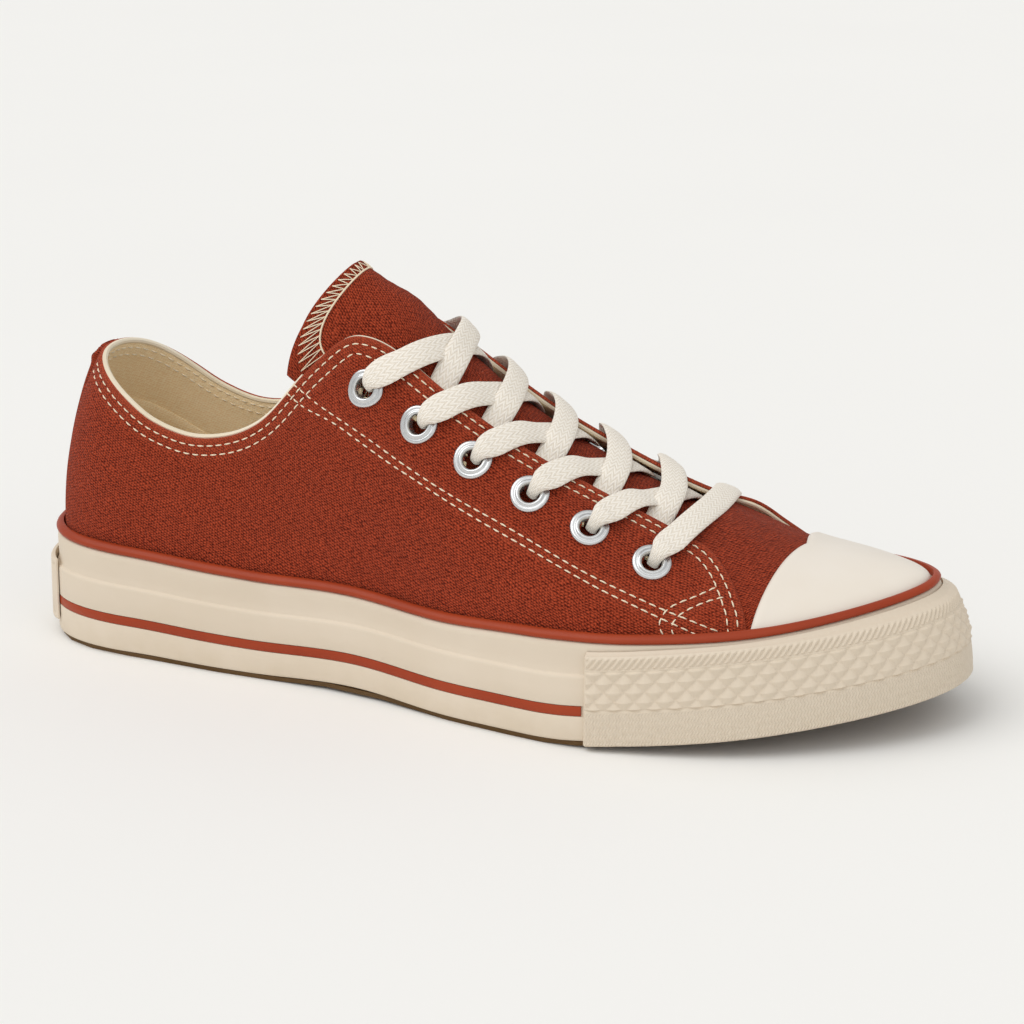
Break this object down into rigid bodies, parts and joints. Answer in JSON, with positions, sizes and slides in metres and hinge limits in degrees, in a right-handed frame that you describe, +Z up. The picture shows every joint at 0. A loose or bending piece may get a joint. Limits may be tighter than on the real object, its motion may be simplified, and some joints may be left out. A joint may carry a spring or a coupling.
{
  "type": "canvas sneaker",
  "caption": "Low canvas sneaker for the right foot: rubber sidewall with a coloured line, ribbed toe bumper, rubber toe cap, metal eyelets and flat crossed laces.",
  "frame": {"origin": "on the floor under the middle of the overall box", "axes": "+X towards the toe, +Y towards the inner side of the foot, +Z up"},
  "size_m": [0.3018, 0.1096, 0.1265],
  "materials": {
    "canvas": "woven cotton canvas",
    "strip": "satin",
    "rubber": "matte",
    "cap": "smooth",
    "gum": "matte",
    "foam": "matte",
    "lining": "cotton lining",
    "metal": "polished",
    "lace": "flat woven cotton"
  },
  "bodies": {
    "root": {"outsole": "gum", "midsole": "foam", "foxing": "rubber", "stripe": "strip", "bumper": "rubber", "heel_patch": "rubber", "piping": "strip", "insole": "lining", "upper": "canvas", "toe_cap": "cap", "tongue": "canvas", "heel_strip": "canvas", "eyelet_lateral_1": "metal", "eyelet_lateral_2": "metal", "eyelet_lateral_3": "metal", "eyelet_lateral_4": "metal", "eyelet_lateral_5": "metal", "eyelet_lateral_6": "metal", "eyelet_medial_1": "metal", "eyelet_medial_2": "metal", "eyelet_medial_3": "metal", "eyelet_medial_4": "metal", "eyelet_medial_5": "metal", "eyelet_medial_6": "metal", "lace_cross_1": "lace", "lace_cross_2": "lace", "lace_cross_3": "lace", "lace_cross_4": "lace", "lace_cross_5": "lace", "lace_bar": "lace"}
  },
  "joints": []
}
